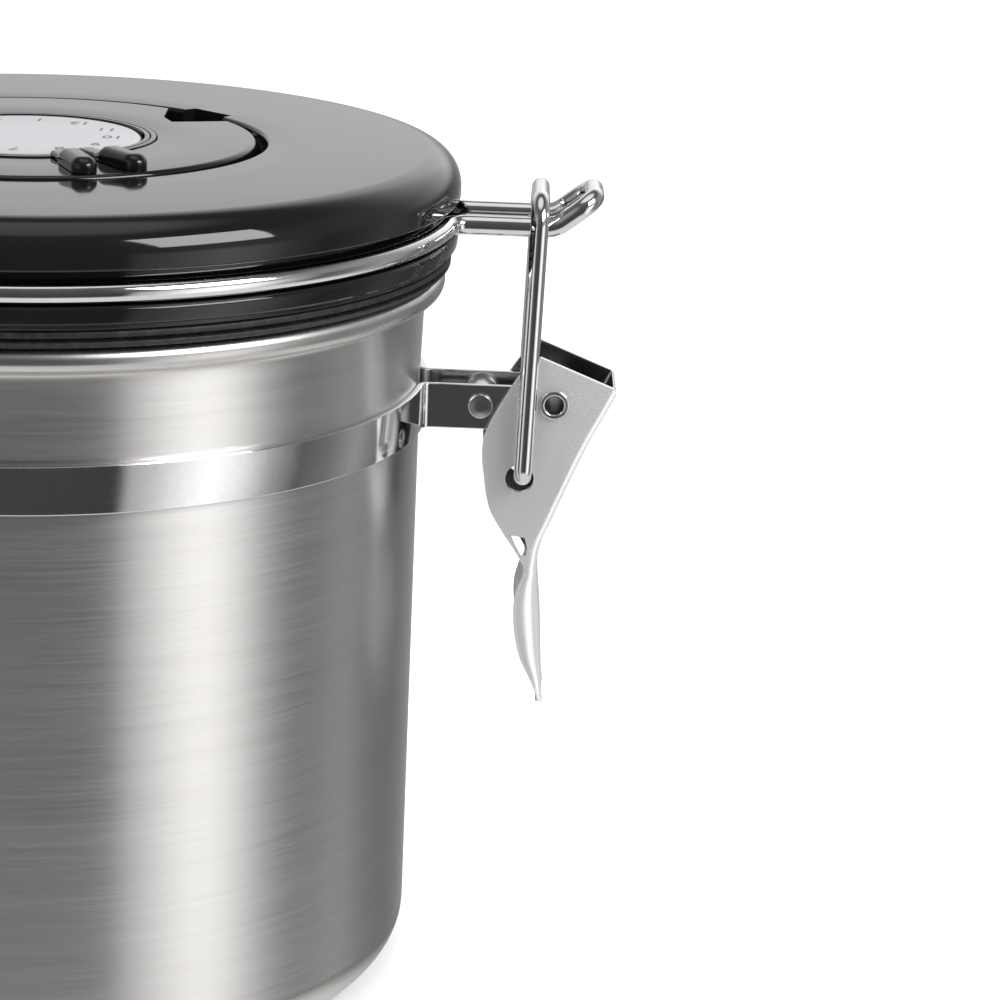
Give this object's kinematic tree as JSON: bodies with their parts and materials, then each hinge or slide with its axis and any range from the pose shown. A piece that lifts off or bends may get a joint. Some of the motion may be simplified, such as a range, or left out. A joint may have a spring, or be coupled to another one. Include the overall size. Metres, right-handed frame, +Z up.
{
  "type": "clip-top storage canister",
  "caption": "Round steel storage canister with a black clip-top lid, wire bail, over-centre lever latch, date dial and one-way vent.",
  "frame": {"origin": "centre of the base, on the surface the canister stands on", "axes": "+Z up along the can's axis, +X towards the latch, hinge at -X"},
  "size_m": [0.1557, 0.1246, 0.1245],
  "materials": {
    "steel_brushed": "brushed around the axis",
    "strap_steel": "polished strip",
    "wire_chrome": "bright plated wire",
    "lever_chrome": "bright plated pressing",
    "rivet_steel": "satin",
    "lid_black": "high gloss",
    "seal_black": "silicone, semi-matt",
    "dial_silver": "satin",
    "valve_white": "moulded",
    "filter_felt": "pressed felt"
  },
  "bodies": {
    "canister": {"canister_body": "steel_brushed", "strap_band": "strap_steel", "bracket_rivet": "rivet_steel", "bracket_spacer": "rivet_steel", "lever_pivot_rivet": "rivet_steel", "hinge_bracket": "strap_steel", "hinge_rivets": "rivet_steel"},
    "lid": {"lid_cover": "lid_black", "lid_base": "lid_black", "lid_gasket": "seal_black", "lid_wire": "wire_chrome", "valve_seat": "valve_white", "valve_flap": "seal_black", "valve_filter": "filter_felt", "filter_guard": "valve_white"},
    "dial": {"dial_cap": "lid_black", "dial_plate": "dial_silver"},
    "month_marker": {"month_pointer": "lid_black"},
    "day_marker": {"day_pointer": "lid_black"},
    "lever": {"latch_lever": "lever_chrome"},
    "link": {"bail_link": "wire_chrome"}
  },
  "joints": [
    {"name": "lid_hinge", "type": "hinge", "parent": "canister", "child": "lid", "pos_m": [-0.0675, 0, 0.1127], "axis": [0, -1, 0], "range_deg": [0, 105]},
    {"name": "lever_hinge", "type": "hinge", "parent": "canister", "child": "lever", "pos_m": [0.0766, 0, 0.087], "axis": [0, -1, 0], "range_deg": [0, 135]},
    {"name": "link_hinge", "type": "hinge", "parent": "lever", "child": "link", "pos_m": [0.0724, 0, 0.0764], "axis": [0, -1, 0], "range_deg": [-105, 0]},
    {"name": "cap_lift", "type": "slide", "parent": "lid", "child": "dial", "axis": [0, 0, 1], "range_m": [0, 0.014]},
    {"name": "month_turn", "type": "hinge", "parent": "dial", "child": "month_marker", "pos_m": [0, 0, 0.121], "axis": [0, 0, 1], "range_deg": [-165, 0]},
    {"name": "day_turn", "type": "hinge", "parent": "dial", "child": "day_marker", "pos_m": [0, 0, 0.121], "axis": [0, 0, 1], "range_deg": [0, 165]}
  ],
  "couplings": [
    {"joint": "link_hinge", "follows": "lever_hinge", "ratio": -0.77}
  ]
}
